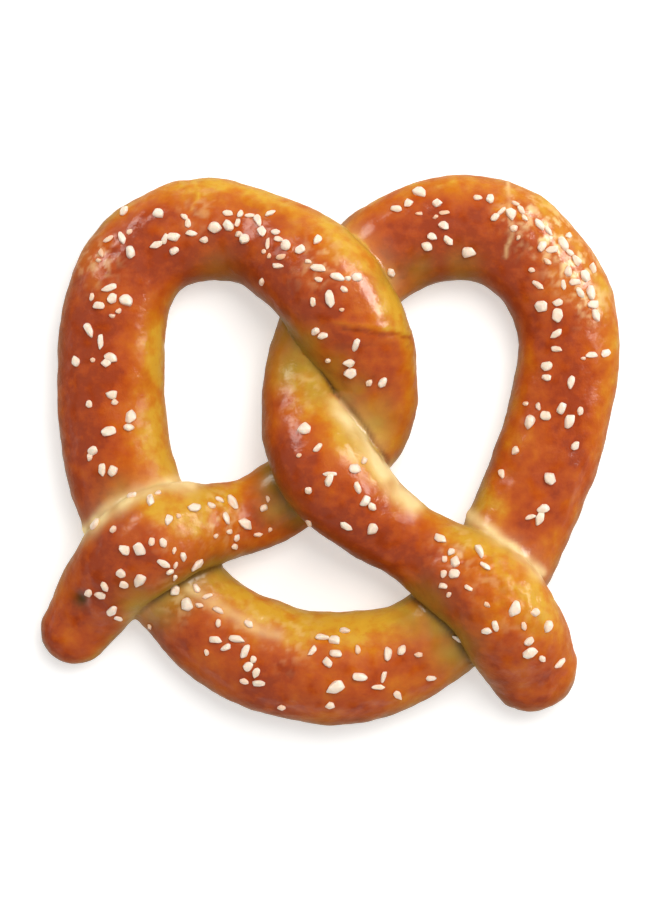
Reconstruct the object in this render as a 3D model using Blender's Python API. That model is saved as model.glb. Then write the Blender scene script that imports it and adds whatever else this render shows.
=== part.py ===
"""A soft pretzel lying on its baked side, with coarse salt on its crust.

One rope of dough is bent into two lobes and a belly. Its two arms cross each other twice in the middle
and run out over the belly as tails. Baking fuses every crossing, so the dough is one closed solid.
Each coarse salt grain is a piece of its own, sitting just clear of the crust.

The row frame: the base is the plane Z = 0, +Y points from the belly to the lobes, and the origin is
under the middle of the pretzel.
"""

import math
import random

import bmesh
import bpy
import numpy as np
from mathutils import Matrix, Vector
from mathutils.bvhtree import BVHTree

MM = 0.001

# The rope from the tip of the left tail to the tip of the right tail, in millimetres:
# x, y, half its width, and how far it is lifted off the baking sheet where it climbs over itself.
ROPE = [
    # left tail, and the left arm down off the belly
    (-61.7, -43.7, 8.3, 0.0),
    (-56.4, -36.0, 9.8, 2.0),
    (-51.6, -29.5, 10.8, 6.5),
    (-44.8, -23.5, 11.7, 10.5),
    (-36.3, -19.7, 11.1, 9.5),
    (-27.3, -17.9, 9.7, 4.5),
    (-18.2, -15.2, 9.1, 1.0),
    # under the right arm, and up over it
    (-1.0, -3.8, 10.6, 0.0),
    (9.0, 9.0, 11.6, 1.5),
    (9.3, 22.0, 11.4, 7.0),
    (3.0, 34.6, 13.0, 11.5),
    (-4.8, 43.0, 12.9, 9.5),
    (-13.0, 48.9, 12.1, 4.5),
    # left lobe
    (-21.0, 52.3, 11.6, 1.0),
    (-31.5, 53.4, 12.1, 0.0),
    (-44.6, 47.9, 12.2, 0.0),
    (-51.2, 36.0, 12.5, 0.0),
    (-52.8, 21.0, 12.8, 0.0),
    (-52.3, 5.0, 12.9, 0.0),
    (-49.1, -9.5, 13.0, 0.0),
    # belly, under both tails
    (-42.8, -24.0, 12.3, 0.0),
    (-33.3, -37.9, 12.1, 0.0),
    (-20.4, -47.6, 13.0, 0.0),
    (-6.8, -52.4, 13.4, 0.0),
    (6.5, -52.7, 13.5, 0.0),
    (19.0, -49.0, 12.2, 0.0),
    (31.5, -40.4, 11.6, 0.0),
    (41.2, -28.0, 12.0, 0.0),
    # right lobe
    (48.2, -14.0, 12.3, 0.0),
    (54.2, 3.0, 12.3, 0.0),
    (57.4, 18.0, 12.0, 0.0),
    (57.4, 31.5, 12.2, 0.0),
    (50.9, 45.0, 12.5, 0.0),
    (39.4, 53.0, 12.6, 0.0),
    (26.0, 53.3, 12.4, 0.0),
    (15.4, 48.9, 12.0, 0.0),
    # under the left arm, and up over it
    (7.6, 42.0, 11.3, 0.0),
    (-3.0, 25.5, 10.5, 1.0),
    (-5.6, 12.0, 10.4, 4.5),
    (-3.9, 1.2, 11.3, 9.0),
    (3.2, -9.4, 11.7, 10.5),
    (17.4, -20.9, 9.6, 6.5),
    # right arm up over the belly, and the right tail
    (31.0, -29.8, 10.9, 9.0),
    (39.3, -36.4, 12.0, 10.5),
    (44.3, -43.6, 12.4, 7.0),
    (49.2, -52.6, 11.0, 0.0),
]

DOUGH_HEIGHT_SHARE = 0.85  # half height of the rope's section, as a share of half its width
DOUGH_SINK_SHARE = 0.68  # its centre's height when it lies on the sheet, as the same share
DOUGH_SMOOTH_LOSS = 0.3  # what smoothing takes off the surface, in millimetres
DOUGH_RING_STEP = 1.6  # millimetres between rings of the swept rope
DOUGH_RING_SIDES = 40
CAP_RINGS = 8
LIFT_EASE = 14.0  # millimetres of rope over which a climb starts and ends
FUSE_VOXEL = 1.3  # millimetres: size of the cells that fuse the crossings
FUSE_ROUNDS = 6  # smoothing rounds that round the valleys between strands
DOUGH_FACES_KEPT = 0.1
SHEET_CUT = (200.0, 200.0, 20.0)  # the block cut away under the dough, in millimetres

# The coarse grains, in millimetres: x, y, length, and the turn of that length in degrees.
GRAINS = [
    # left lobe, from its left side over its top to the twist
    (-52.8, -4.7, 3.0, 10),
    (-56.7, -0.1, 2.5, 140),
    (-53.1, 4.5, 2.4, 20),
    (-47.9, 7.3, 3.1, 75),
    (-52.1, 13.1, 2.4, 100),
    (-60.8, 21.3, 2.2, 90),
    (-52.6, 21.7, 2.6, 20),
    (-54.9, 26.2, 3.2, 80),
    (-57.5, 28.8, 2.9, 120),
    (-52.1, 36.4, 2.8, 160),
    (-52.8, 39.2, 2.6, 30),
    (-47.7, 47.5, 2.7, 100),
    (-38.4, 50.4, 3.0, 15),
    (-41.0, 57.0, 2.2, 60),
    (-27.6, 53.3, 2.8, 0),
    (-20.2, 50.4, 3.0, 150),
    (-16.8, 55.3, 2.9, 60),
    (-12.2, 52.0, 2.5, 130),
    (-10.2, 48.6, 2.9, 115),
    # the arm over the top of the twist
    (-2.6, 49.9, 2.2, 80),
    (6.3, 41.1, 2.6, 10),
    (0.2, 36.0, 2.9, 100),
    (-3.1, 28.1, 2.7, 150),
    (4.9, 19.2, 3.1, 95),
    (12.6, 16.3, 2.6, 45),
    # right lobe, from the twist over its top and down its right side
    (16.1, 58.0, 2.3, 10),
    (21.9, 61.9, 3.0, 150),
    (23.7, 49.6, 2.9, 40),
    (33.4, 47.7, 2.9, 170),
    (38.6, 60.4, 2.4, 0),
    (43.0, 56.8, 2.8, 20),
    (50.4, 53.8, 2.6, 160),
    (55.8, 49.4, 3.0, 30),
    (61.2, 41.1, 2.8, 110),
    (64.1, 32.3, 2.4, 80),
    (54.8, 32.7, 3.1, 90),
    (51.1, 34.4, 2.5, 70),
    (54.5, 27.6, 2.4, 90),
    (52.3, 19.4, 2.9, 95),
    (63.1, 22.7, 2.5, 0),
    (48.4, 6.8, 2.9, 80),
    (57.7, 6.8, 2.8, 75),
    (59.0, 0.9, 2.5, 150),
    (52.8, -7.0, 3.0, 120),
    (50.4, -15.3, 3.1, 60),
    # right arm and right tail
    (-5.8, 5.1, 2.8, 160),
    (-0.3, -7.2, 2.8, 75),
    (9.2, -12.9, 2.6, 140),
    (10.2, -18.7, 2.8, 30),
    (29.8, -29.4, 3.0, 85),
    (36.2, -24.6, 3.0, 110),
    (44.5, -37.9, 3.1, 80),
    (47.9, -48.2, 2.9, 140),
    # left arm and left tail
    (-32.5, -13.8, 2.8, 10),
    (-45.0, -23.6, 2.9, 15),
    (-51.8, -38.6, 2.9, 120),
    # belly
    (-34.2, -37.2, 2.7, 100),
    (-18.8, -51.6, 3.0, 110),
    (1.1, -57.0, 3.2, 35),
]
GRAIN_GAP = 0.35  # millimetres between a grain and the crust
GRAIN_CORNERS = 13
GRAIN_PROPORTIONS = (1.0, 0.76, 0.62)
GRAIN_CORNER_WANDER = 0.22  # share of a grain's half length by which its corners wander

CRUST_COLOUR = (0.58, 0.20, 0.035)
SALT_COLOUR = (0.90, 0.87, 0.82)


def material(name, colour, roughness):
    """A Principled material with a plain colour."""
    made = bpy.data.materials.new(name)
    made.use_nodes = True
    shader = made.node_tree.nodes["Principled BSDF"]
    shader.inputs["Base Color"].default_value = (*colour, 1.0)
    shader.inputs["Roughness"].default_value = roughness
    shader.inputs["Metallic"].default_value = 0.0
    return made


def natural_spline(knots, values, places):
    """Values of the natural cubic spline through (knots, values), read at places."""
    count, steps = len(knots), np.diff(knots)
    system = np.eye(count)
    slopes = np.zeros((count, values.shape[1]))
    rises = np.diff(values, axis=0) / steps[:, None]
    for i in range(1, count - 1):
        system[i, i - 1 : i + 2] = steps[i - 1], 2 * (steps[i - 1] + steps[i]), steps[i]
        slopes[i] = 6 * (rises[i] - rises[i - 1])
    bends = np.linalg.solve(system, slopes)
    span = np.clip(np.searchsorted(knots, places) - 1, 0, count - 2)
    width = steps[span][:, None]
    after = (places - knots[span])[:, None]
    before = width - after
    return (
        bends[span] * before**3 / (6 * width)
        + bends[span + 1] * after**3 / (6 * width)
        + (values[span] / width - bends[span] * width / 6) * before
        + (values[span + 1] / width - bends[span + 1] * width / 6) * after
    )


def rope_line():
    """Centres and half widths of the rope's rings, evenly spaced along it, in millimetres."""
    stations = np.array(ROPE)
    strides = np.linalg.norm(np.diff(stations[:, :2], axis=0), axis=1)
    knots = np.concatenate([[0.0], np.cumsum(strides)])
    places = np.linspace(0.0, knots[-1], round(knots[-1] / DOUGH_RING_STEP))
    x, y, radius, lift = natural_spline(knots, stations, places).T
    window = np.hanning(round(LIFT_EASE / DOUGH_RING_STEP) + 2)
    edge = len(window) // 2
    lift = np.pad(np.maximum(lift, 0.0), edge, mode="edge")
    lift = np.convolve(lift, window / window.sum(), mode="same")[edge : edge + len(x)]
    centres = np.stack([x, y, radius * DOUGH_SINK_SHARE + lift], axis=1)
    return centres, radius + DOUGH_SMOOTH_LOSS


def rope_rings():
    """Every ring of the rope as (centre, tangent, half width), with round caps at both tips."""
    centres, radii = rope_line()
    tangents = np.gradient(centres, axis=0)
    tangents /= np.linalg.norm(tangents, axis=1)[:, None]
    turns = np.linspace(0.0, math.pi / 2, CAP_RINGS + 1)[1:-1]
    head = [
        (centres[0] - tangents[0] * radii[0] * math.sin(a), tangents[0], radii[0] * math.cos(a))
        for a in turns[::-1]
    ]
    body = list(zip(centres, tangents, radii))
    tail = [
        (centres[-1] + tangents[-1] * radii[-1] * math.sin(a), tangents[-1], radii[-1] * math.cos(a))
        for a in turns
    ]
    return head + body + tail


def rope_mesh():
    """The swept rope. It runs through itself at the crossings, which the object's modifiers fuse."""
    rings = rope_rings()
    shape = bmesh.new()
    angles = [2 * math.pi * i / DOUGH_RING_SIDES for i in range(DOUGH_RING_SIDES)]
    loops = []
    for centre, tangent, radius in rings:
        side = np.cross(tangent, (0.0, 0.0, 1.0))
        side /= np.linalg.norm(side)
        up = np.cross(side, tangent)
        loops.append(
            [
                shape.verts.new(
                    MM * (centre + radius * (side * math.cos(a) + up * DOUGH_HEIGHT_SHARE * math.sin(a)))
                )
                for a in angles
            ]
        )
    for first, second in zip(loops, loops[1:]):
        for i in range(DOUGH_RING_SIDES):
            j = (i + 1) % DOUGH_RING_SIDES
            shape.faces.new((first[i], first[j], second[j], second[i]))
    (start, start_way, start_radius), (end, end_way, end_radius) = rings[0], rings[-1]
    reach = math.tan(math.pi / (4 * CAP_RINGS))
    first_pole = shape.verts.new(MM * (start - start_way * start_radius * reach))
    last_pole = shape.verts.new(MM * (end + end_way * end_radius * reach))
    for i in range(DOUGH_RING_SIDES):
        j = (i + 1) % DOUGH_RING_SIDES
        shape.faces.new((first_pole, loops[0][j], loops[0][i]))
        shape.faces.new((last_pole, loops[-1][i], loops[-1][j]))
    bmesh.ops.recalc_face_normals(shape, faces=shape.faces)
    mesh = bpy.data.meshes.new("pretzel_dough")
    shape.to_mesh(mesh)
    shape.free()
    return mesh


def baking_sheet():
    """The block under Z = 0 that gives the dough its flat base. It only cuts."""
    width, depth, height = (MM * side for side in SHEET_CUT)
    bpy.ops.mesh.primitive_cube_add(size=1.0, location=(0.0, 0.0, -height / 2))
    sheet = bpy.context.object
    sheet.name = "baking_sheet_cutter"
    sheet.scale = (width, depth, height)
    bpy.ops.object.transform_apply(location=False, rotation=False, scale=True)
    sheet.hide_render = True
    sheet.display_type = "WIRE"
    return sheet


def pretzel_dough():
    """The baked rope: swept, fused where it crosses itself, and flat where it lay on the sheet."""
    dough = bpy.data.objects.new("pretzel_dough", rope_mesh())
    bpy.context.scene.collection.objects.link(dough)
    dough.data.materials.append(material("crust", CRUST_COLOUR, 0.45))
    fuse = dough.modifiers.new("fuse the crossings", "REMESH")
    fuse.mode = "VOXEL"
    fuse.voxel_size = FUSE_VOXEL * MM
    ease = dough.modifiers.new("round the valleys", "SMOOTH")
    ease.factor = 0.5
    ease.iterations = FUSE_ROUNDS
    thin = dough.modifiers.new("fewer faces", "DECIMATE")
    thin.ratio = DOUGH_FACES_KEPT
    rest = dough.modifiers.new("flat base", "BOOLEAN")
    rest.operation = "DIFFERENCE"
    rest.solver = "EXACT"
    rest.object = baking_sheet()
    return dough


def crystal(number, length):
    """A worn salt crystal: an irregular block with flat faces, lying with its length along X."""
    chance = random.Random(f"crystal {number}")
    half = [length / 2 * share for share in GRAIN_PROPORTIONS]
    shape = bmesh.new()
    golden_turn = math.pi * (3.0 - math.sqrt(5.0))
    for i in range(GRAIN_CORNERS):
        rise = 1.0 - 2.0 * (i + 0.5) / GRAIN_CORNERS
        ring = math.sqrt(1.0 - rise * rise)
        way = (ring * math.cos(i * golden_turn), ring * math.sin(i * golden_turn), rise)
        reach = max(abs(part) for part in way) ** -0.5
        corner = [
            side * (part * reach + chance.uniform(-GRAIN_CORNER_WANDER, GRAIN_CORNER_WANDER))
            for side, part in zip(half, way)
        ]
        shape.verts.new(corner)
    bmesh.ops.convex_hull(shape, input=shape.verts)
    inner = [corner for corner in shape.verts if not corner.link_faces]
    bmesh.ops.delete(shape, geom=inner, context="VERTS")
    bmesh.ops.recalc_face_normals(shape, faces=shape.faces)
    return shape


def salt_grain(number, grain, crust, salt):
    """One grain resting on the crust under its place, clear of it all round by at least the gap."""
    x, y, length, turn = grain
    spot, normal, _, _ = crust.ray_cast(Vector((x * MM, y * MM, 1.0)), Vector((0.0, 0.0, -1.0)))
    shape = crystal(number, length)
    along = Vector((math.cos(math.radians(turn)), math.sin(math.radians(turn)), 0.0))
    along = (along - normal * along.dot(normal)).normalized()
    seat = Matrix((along, normal.cross(along), normal)).transposed()
    shape.transform(seat.to_4x4() @ Matrix.Scale(MM, 4))
    lift = max(-corner.co.dot(normal) for corner in shape.verts) + GRAIN_GAP * MM
    while True:
        here = spot + normal * lift
        gap = min(crust.find_nearest(here + corner.co)[3] for corner in shape.verts)
        if gap >= GRAIN_GAP * MM:
            break
        lift += (GRAIN_GAP * MM - gap) + 0.01 * MM
    mesh = bpy.data.meshes.new(f"salt_grain_{number:02d}")
    shape.to_mesh(mesh)
    shape.free()
    mesh.materials.append(salt)
    made = bpy.data.objects.new(mesh.name, mesh)
    made.location = here
    bpy.context.scene.collection.objects.link(made)


def main():
    for old in list(bpy.data.objects):
        bpy.data.objects.remove(old)
    dough = pretzel_dough()
    crust = BVHTree.FromObject(dough, bpy.context.evaluated_depsgraph_get())
    salt = material("salt", SALT_COLOUR, 0.35)
    for number, grain in enumerate(GRAINS, start=1):
        salt_grain(number, grain, crust, salt)


main()
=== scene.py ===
"""The looks of the soft pretzel: its baked crust and every salt grain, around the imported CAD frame.

The dough is swept again from the rope that the CAD uses, finely enough for lumps, creases and splits.
Each CAD salt grain gets its worn crystal, sunk into the crust, with the small grains that lie round it.
"""

import math
import random

import bmesh
import bpy
import numpy as np
from mathutils import Matrix, Vector, noise
from mathutils.bvhtree import BVHTree


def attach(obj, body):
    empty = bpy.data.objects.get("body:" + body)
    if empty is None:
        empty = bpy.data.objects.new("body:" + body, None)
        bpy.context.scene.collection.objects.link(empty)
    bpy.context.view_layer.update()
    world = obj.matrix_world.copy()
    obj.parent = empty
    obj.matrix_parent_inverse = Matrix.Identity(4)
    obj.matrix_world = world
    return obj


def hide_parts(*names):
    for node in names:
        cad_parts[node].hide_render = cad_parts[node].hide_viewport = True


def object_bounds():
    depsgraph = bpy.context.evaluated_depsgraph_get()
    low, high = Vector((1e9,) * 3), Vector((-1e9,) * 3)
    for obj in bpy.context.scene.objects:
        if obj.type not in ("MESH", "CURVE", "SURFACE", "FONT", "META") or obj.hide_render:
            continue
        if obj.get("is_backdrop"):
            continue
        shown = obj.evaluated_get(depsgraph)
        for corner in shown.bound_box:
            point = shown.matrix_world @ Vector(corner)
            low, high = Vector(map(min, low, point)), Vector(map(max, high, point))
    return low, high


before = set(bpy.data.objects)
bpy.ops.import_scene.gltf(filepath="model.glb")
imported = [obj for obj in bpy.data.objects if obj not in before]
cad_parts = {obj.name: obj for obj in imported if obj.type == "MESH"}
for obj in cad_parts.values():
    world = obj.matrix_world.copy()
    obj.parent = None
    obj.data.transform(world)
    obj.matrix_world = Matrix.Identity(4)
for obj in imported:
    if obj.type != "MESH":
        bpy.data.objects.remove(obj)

MM = 0.001

# ---- the rope, as the CAD sweeps it

# From the tip of the left tail to the tip of the right tail, in millimetres: x, y, half its width, and
# how far it is lifted off the baking sheet where it climbs over itself.
ROPE = [
    # left tail, and the left arm down off the belly
    (-61.7, -43.7, 8.3, 0.0),
    (-56.4, -36.0, 9.8, 2.0),
    (-51.6, -29.5, 10.8, 6.5),
    (-44.8, -23.5, 11.7, 10.5),
    (-36.3, -19.7, 11.1, 9.5),
    (-27.3, -17.9, 9.7, 4.5),
    (-18.2, -15.2, 9.1, 1.0),
    # under the right arm, and up over it
    (-1.0, -3.8, 10.6, 0.0),
    (9.0, 9.0, 11.6, 1.5),
    (9.3, 22.0, 11.4, 7.0),
    (3.0, 34.6, 13.0, 11.5),
    (-4.8, 43.0, 12.9, 9.5),
    (-13.0, 48.9, 12.1, 4.5),
    # left lobe
    (-21.0, 52.3, 11.6, 1.0),
    (-31.5, 53.4, 12.1, 0.0),
    (-44.6, 47.9, 12.2, 0.0),
    (-51.2, 36.0, 12.5, 0.0),
    (-52.8, 21.0, 12.8, 0.0),
    (-52.3, 5.0, 12.9, 0.0),
    (-49.1, -9.5, 13.0, 0.0),
    # belly, under both tails
    (-42.8, -24.0, 12.3, 0.0),
    (-33.3, -37.9, 12.1, 0.0),
    (-20.4, -47.6, 13.0, 0.0),
    (-6.8, -52.4, 13.4, 0.0),
    (6.5, -52.7, 13.5, 0.0),
    (19.0, -49.0, 12.2, 0.0),
    (31.5, -40.4, 11.6, 0.0),
    (41.2, -28.0, 12.0, 0.0),
    # right lobe
    (48.2, -14.0, 12.3, 0.0),
    (54.2, 3.0, 12.3, 0.0),
    (57.4, 18.0, 12.0, 0.0),
    (57.4, 31.5, 12.2, 0.0),
    (50.9, 45.0, 12.5, 0.0),
    (39.4, 53.0, 12.6, 0.0),
    (26.0, 53.3, 12.4, 0.0),
    (15.4, 48.9, 12.0, 0.0),
    # under the left arm, and up over it
    (7.6, 42.0, 11.3, 0.0),
    (-3.0, 25.5, 10.5, 1.0),
    (-5.6, 12.0, 10.4, 4.5),
    (-3.9, 1.2, 11.3, 9.0),
    (3.2, -9.4, 11.7, 10.5),
    (17.4, -20.9, 9.6, 6.5),
    # right arm up over the belly, and the right tail
    (31.0, -29.8, 10.9, 9.0),
    (39.3, -36.4, 12.0, 10.5),
    (44.3, -43.6, 12.4, 7.0),
    (49.2, -52.6, 11.0, 0.0),
]

HEIGHT_SHARE = 0.85  # half height of the rope's section, as a share of half its width
SINK_SHARE = 0.68  # its centre's height when it lies on the sheet, as the same share
SMOOTH_LOSS = 0.15  # what smoothing takes off the surface, in millimetres
RING_STEP = 1.6  # millimetres between rings of the swept rope
RING_SIDES = 64
CAP_RINGS = 8
LIFT_EASE = 14.0  # millimetres of rope over which a climb starts and ends
FUSE_VOXEL = 0.74  # millimetres: size of the cells that fuse the crossings
FUSE_ROUNDS = 4  # smoothing rounds that round the valleys between strands
FUSE_EASE = 0.5  # how far a round moves each vertex towards the middle of its neighbours
OWN_STRETCH = 3.2  # half widths along the rope within which it is no neighbour to itself
NEVER_ZERO = 0.1  # millimetres added to a length before dividing by it
AT_ONCE = 4000  # points worked on at a time
NOISE_GAIN = 1.6  # takes the noise to a range of about -1 to 1

# Waves of noise, each an amount, a wavelength in millimetres and a seed.
LUMPS = [(0.42, 15.0, 1), (0.22, 6.5, 2), (0.09, 2.6, 3), (0.04, 1.4, 4)]  # millimetres high
KNOBS = [(0.26, 2.4, 6)]  # millimetres high
LINE_WAVER_X = [(0.5, 6.0, 21), (0.2, 2.0, 22)]  # millimetres to the side
LINE_WAVER_Y = [(0.4, 6.0, 23), (0.1, 2.0, 24)]
LINE_FADING = [(0.4, 4.0, 25)]
LINE_USUAL, LINE_FAINTEST = 0.9, 0.5
UPPER_SIDE = 2.0, 7.0  # millimetres above the sheet between which the upper side's marks come in
LUMPS_START = 0.0, 3.0  # and between which the lumps do

# ---- how the crust baked, and the light and shade painted on it

# The crust is brownest where it faces this way, turned from the key light: partly real browning, partly
# painted shade.
BROWN_AND_SHADE_WAY = Vector((-0.42, -0.42, 0.80)).normalized()
FACING_BROWN_AND_SHADE = 0.02, 0.98  # how far the crust faces that way where it is palest and brownest
LEAST_BROWN, MOST_BROWN = 0.28, 0.96  # on the faces turned most to the light, and on those turned most from it
UNEVEN_BAKING = [(0.16, 15.0, 11), (0.18, 6.0, 12), (0.10, 2.4, 16)]
SEAM_REACH = 3.6  # millimetres from a neighbouring strand within which the crust stays pale
CREASE_REACH = 1.0  # millimetres from it within which the crust lies in the crease's shade
CREASE_DEPTH = 0.6  # millimetres, on a seam's shaded side
SEAM_PALE = 0.2  # how pale a seam towards the light is: dough kept pale there, and painted light
UNEVEN_PALE = [(0.4, 5.0, 14)]
OLIVE_SHADE_REACH = 1.5 * SEAM_REACH
UNEVEN_OLIVE_SHADE = [(0.3, 4.0, 17)]
CREASED_TO_LIGHT, SHADE_TO_LIGHT = 0.25, 0.2  # share of a crease's depth and of its painted shade on seams towards the light
UNDERSIDE_REACH = 0.2, 2.5  # millimetres above the sheet over which the underside's colour ends
UNDERSIDE_EDGE = [(0.6, 6.0, 15)]
# Where the arm that lies over rolls into the next with no crease: x, y, reach and how high it fills.
ROLLED_IN = (-9.0, 25.0, 8.5, 1.3)
# Seams on this side of the strand that lies over, turned from the light, get painted shade: olive, not
# cream.
SHADED_SIDE = np.array([-0.25, -0.97])
SHADED_FROM, SHADED_ALL = -0.35, 0.55
# The crust is dull and dark down its sides, partly unglazed crust and partly painted shade: how far up it
# faces where that starts and is full.
SIDE_START, SIDE_FULL = 0.74, -0.05
# Sides that face the key light this way get less painted shade: it starts lower, and they lose a share of
# it.
LIT_SIDE = np.array([0.55, 0.80, 0.0])
BRIGHT_FROM, BRIGHT_ALL = 0.0, 0.7
BRIGHT_DROP, BRIGHT_SHARE = 0.16, 0.6

# Darker (positive) and paler (negative) patches: x, y, reach in millimetres, and how much.
PATCHES = [
    # pale in the twist's valley and along the right arm's upper edge
    (-9.0, 21.0, 8.0, -0.55),
    (-3.0, 13.0, 6.0, -0.45),
    (6.0, 2.0, 5.0, -0.5),
    (13.0, -4.0, 4.0, -0.4),
    (20.0, -11.0, 4.0, -0.3),
    (10.8, 3.5, 6.0, -0.45),
    # golden shoulders
    (12.0, 36.0, 7.0, -0.35),
    (-14.0, 60.0, 7.0, -0.2),
    (4.0, 49.0, 7.0, -0.3),
    (-31.0, 62.0, 7.0, -0.2),
    (-42.0, -13.0, 7.0, -0.28),
    (-49.0, 24.0, 5.0, -0.2),
    (-48.5, 12.0, 5.0, -0.25),
    (-49.0, 2.0, 5.0, -0.25),
    (-50.0, -6.0, 5.0, -0.2),
    (-38.0, -16.0, 6.0, -0.25),
    (-27.0, -13.0, 6.0, -0.25),
    (53.0, 50.0, 7.0, -0.25),
    (60.0, 40.0, 6.0, -0.2),
    (34.0, -26.0, 8.0, -0.45),
    (42.0, -35.0, 7.5, -0.35),
    (40.0, -42.0, 5.0, -0.25),
    (49.0, -41.0, 5.0, -0.3),
    (49.0, -51.0, 6.0, -0.2),
    (46.5, -57.5, 6.0, -0.3),
    # the belly's inner edge
    (-25.0, -36.0, 5.0, -0.35),
    (-17.0, -40.0, 6.0, -0.4),
    (-8.0, -44.0, 7.0, -0.5),
    (6.0, -44.0, 7.0, -0.45),
    (18.0, -41.0, 6.5, -0.35),
    # red-brown ridges
    (-6.0, 32.0, 7.0, 0.15),
    (-58.0, 16.0, 7.0, 0.12),
    (-57.0, 4.0, 6.0, 0.12),
    (-28.0, 45.5, 8.0, 0.15),
    (28.0, 46.0, 8.0, 0.12),
    (-8.0, -3.0, 7.0, 0.15),
    (-17.0, -16.0, 4.5, 0.35),
    (41.0, -63.0, 3.0, 0.4),
    # orange where the belly and the tails turn down
    (-36.0, -47.0, 7.0, -0.15),
    (-22.0, -58.0, 8.0, -0.25),
    (-2.0, -62.0, 9.0, -0.3),
    (18.0, -58.0, 8.0, -0.25),
    (-46.5, -38.0, 5.0, -0.35),
    (-62.0, -45.0, 6.0, -0.15),
    (-64.0, -34.0, 5.0, -0.15),
    (57.5, -41.0, 5.0, 0.15),
    # and down the inner sides of the lobes
    (-42.5, 20.0, 7.0, -0.15),
    (-42.0, 4.0, 7.0, -0.2),
    (47.5, 22.0, 6.0, -0.4),
    (46.0, 12.5, 5.0, -0.3),
    (44.0, -4.0, 5.0, -0.2),
    (35.0, -12.5, 5.5, -0.8),
    (41.0, -16.0, 4.0, -0.45),
    (44.5, 4.0, 6.0, -0.35),
    (49.0, 37.0, 5.0, -0.15),
    (8.0, 14.0, 5.0, -0.15),
    # orange down the right lobe's outer side
    (34.0, 65.0, 8.0, 0.15),
    (50.0, 62.0, 8.0, 0.08),
    (68.0, 26.0, 9.0, 0.08),
    (65.0, 8.0, 9.0, 0.1),
    (61.0, -8.0, 8.0, 0.15),
    (60.0, -46.0, 6.0, 0.3),
]

# Where olive shade is painted on the crust: x, y, reach in millimetres, and how much.
OLIVE_SHADE_PATCHES = [
    (10.0, 6.5, 6.5, 0.8),
    (4.5, 14.0, 4.0, 0.6),
    (-8.5, 20.5, 6.0, 0.95),
    (-10.5, 26.5, 4.0, 0.9),
    (-5.0, 25.5, 3.5, 0.6),
    (1.0, 20.0, 3.5, 0.6),
    (6.0, 15.0, 3.5, 0.6),
    (-2.5, 15.5, 4.5, 0.8),
    (-12.5, -14.5, 4.0, 0.7),
    (-27.0, 43.0, 5.0, 0.35),
    (22.0, 43.0, 4.5, 0.5),
    (32.0, 43.5, 4.5, 0.5),
    (-50.0, -10.5, 4.5, 0.5),
    (-33.0, -33.0, 4.0, 0.6),
    (-41.0, -38.5, 4.5, 0.8),
    (-46.0, -36.5, 4.0, 0.85),
    (-37.5, -33.0, 3.5, 0.5),
    (21.0, -38.5, 6.0, 0.85),
    (29.5, -47.5, 5.5, 0.9),
    (33.0, -17.5, 3.5, 0.4),
    (14.0, 41.5, 3.0, 0.5),
]

# Lines across the crust: how high it stands there (negative is a crease) and half how wide, in
# millimetres, how much browner it is (negative is more golden; where positive, it also gets painted crease
# shade), and its points.
LINES = [
    # creases across the arm that lies over the twist, and their golden lip
    (-0.28, 0.45, 0.25, [(3.0, 28.8), (8.0, 28.3), (14.0, 27.5), (19.5, 26.9)]),
    (0.20, 0.70, -0.30, [(1.0, 30.3), (8.0, 29.7), (14.0, 28.9), (19.5, 28.3)]),
    (-0.12, 0.50, 0.12, [(4.0, 24.8), (12.0, 25.2), (19.5, 25.0)]),
    # where the arm tucks in beside the right arm
    (-0.30, 0.80, 0.60, [(1.5, 14.2), (6.0, 9.0), (10.5, 3.0), (14.0, -3.2)]),
    # fine splits across the tops of both lobes
    (0.05, 0.50, -0.40, [(-33.0, 65.4), (-31.5, 61.0), (-34.0, 57.0)]),
    (0.05, 0.45, -0.40, [(39.5, 58.0), (43.0, 57.0), (47.5, 55.0), (52.0, 50.5)]),
]

# Cream lips: how high they stand and half how wide, in millimetres, how pale they are, and their points.
LIPS = [
    # where the tails' upper edges lie against the lobes
    (0.60, 1.9, 1.00, [(-59.5, -20.0), (-52.5, -14.2), (-46.0, -10.2), (-39.5, -8.4), (-33.0, -8.6)]),
    (0.60, 1.6, 1.00, [(34.0, -16.2), (42.0, -22.0), (50.5, -29.5)]),
    # the split across the right lobe
    (0.15, 0.5, 0.50, [(43.4, 64.8), (42.6, 58.0), (43.6, 52.0), (42.6, 46.5)]),
    # where the belly comes out from under the left tail: a pale streak, partly a painted highlight
    (0.10, 1.5, 0.55, [(-33.5, -33.5), (-27.0, -37.5), (-19.5, -42.0), (-12.5, -44.5)]),
    # the upper edge of the right arm as it leaves the twist: pale dough, partly a painted reflection
    (0.25, 2.0, 1.00, [(2.0, 10.6), (4.5, 7.2), (7.5, 2.8), (11.5, -3.2), (16.5, -9.6), (20.5, -13.2)]),
]

# Knobbly places: x, y, reach in millimetres, and how strong.
KNOBBLY = [
    (36.5, -27.0, 6.5, 1.8),
    (44.0, -36.0, 6.5, 1.6),
    (45.0, -60.0, 5.0, 0.8),
    (-31.0, 61.0, 7.0, 0.7),
    (50.0, 50.0, 9.0, 0.8),
    (-52.0, 50.0, 6.0, 0.7),
    (-31.0, -24.0, 6.0, 0.8),
]
PIT = (-60.2, -36.2, 1.9, 1.5)  # the dark pit in the left tail: x, y, reach, depth in millimetres

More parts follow.
